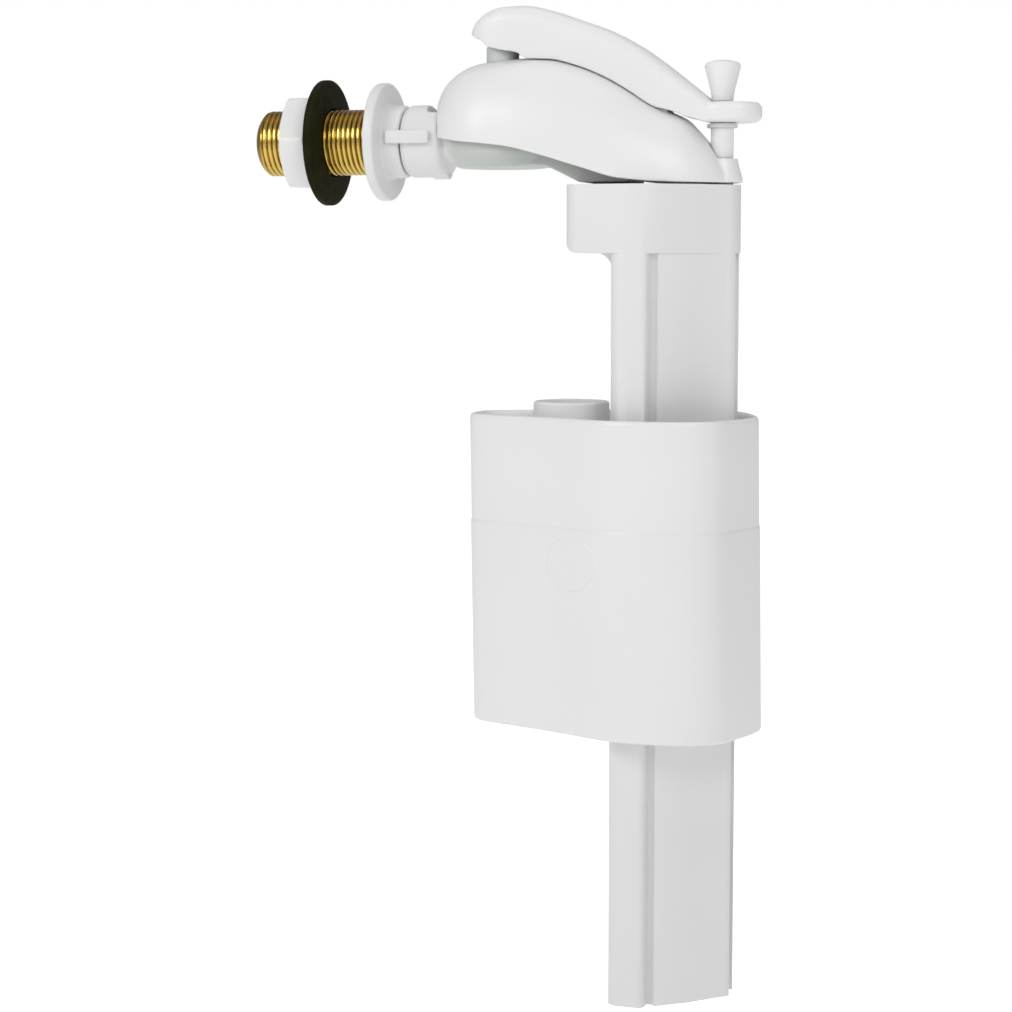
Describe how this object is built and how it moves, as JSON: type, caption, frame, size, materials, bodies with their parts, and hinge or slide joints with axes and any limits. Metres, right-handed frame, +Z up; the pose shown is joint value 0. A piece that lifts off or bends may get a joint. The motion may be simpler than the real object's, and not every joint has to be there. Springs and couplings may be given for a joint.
{
  "type": "toilet fill valve",
  "caption": "Side-inlet toilet fill valve: threaded brass inlet, servo diaphragm head, lever, adjusting rod, guide column and float.",
  "frame": {"origin": "where the axis of the inlet shank meets the seating face of the backing flange, which bears on the inside of the tank wall", "axes": "+X along the inlet into the tank, towards the guide column; +Z up; +Y completes the right-handed frame, across the symmetrical valve"},
  "size_m": [0.1311, 0.0484, 0.2476],
  "materials": {
    "white_plastic": "smooth white moulded plastic",
    "milky_plastic": "satin off-white moulded plastic",
    "brass": "turned yellow brass",
    "dark_rubber": "matte dark rubber",
    "soft_rubber": "soft moulded rubber"
  },
  "bodies": {
    "root": {"inlet_shank": "brass", "shank_o_ring": "soft_rubber", "inlet_strainer": "milky_plastic", "flow_limiter": "milky_plastic", "backing_flange": "white_plastic", "valve_body": "white_plastic", "valve_seat": "milky_plastic", "metering_pin": "brass", "diaphragm": "soft_rubber", "chamber_lid": "white_plastic", "pilot_turret": "milky_plastic", "head_cover": "white_plastic", "lever_pin": "milky_plastic", "guide_column": "milky_plastic", "column_gasket": "soft_rubber", "flow_silencer": "milky_plastic"},
    "washer": {"tank_washer": "dark_rubber"},
    "nut": {"lock_nut": "white_plastic"},
    "insert": {"diaphragm_insert": "milky_plastic"},
    "lever": {"float_lever": "white_plastic", "pilot_pad": "soft_rubber"},
    "rod_hanger": {"rod_swivel_clip": "milky_plastic"},
    "rod": {"adjusting_rod": "white_plastic", "adjusting_knob": "white_plastic"},
    "float": {"float_shell": "white_plastic", "float_base": "white_plastic", "float_half_nut": "milky_plastic"}
  },
  "joints": [
    {"name": "lever_pivot", "type": "hinge", "parent": "root", "child": "lever", "pos_m": [0.0713, 0, 0.0114], "axis": [0, 1, 0], "range_deg": [0, 2.5]},
    {"name": "rod_lift", "type": "slide", "parent": "root", "child": "rod_hanger", "axis": [0, 0, 1], "range_m": [-0.000746, 0]},
    {"name": "rod_turn", "type": "hinge", "parent": "rod_hanger", "child": "rod", "pos_m": [0.0884, 0, 0], "axis": [0, 0, -1], "range_deg": [-4952, 2972]},
    {"name": "float_level", "type": "slide", "parent": "rod_hanger", "child": "float", "axis": [0, 0, 1], "range_m": [-0.055, 0.033]},
    {"name": "washer_run", "type": "slide", "parent": "root", "child": "washer", "axis": [1, 0, 0], "range_m": [-0.0075, 0.0122]},
    {"name": "nut_turn", "type": "hinge", "parent": "washer", "child": "nut", "pos_m": [-0.0198, 0, 0], "axis": [1, 0, 0], "range_deg": [-1990, 3250]},
    {"name": "insert_lift", "type": "slide", "parent": "root", "child": "insert", "axis": [0, 0, 1], "range_m": [0, 0.0015], "deforming": ["diaphragm"]}
  ],
  "couplings": [
    {"joint": "lever_pivot", "follows": "rod_lift", "rad_per_m": -58.48},
    {"joint": "rod_turn", "follows": "float_level", "rad_per_m": 1570.8},
    {"joint": "washer_run", "follows": "nut_turn", "m_per_rad": 0.00021279}
  ]
}
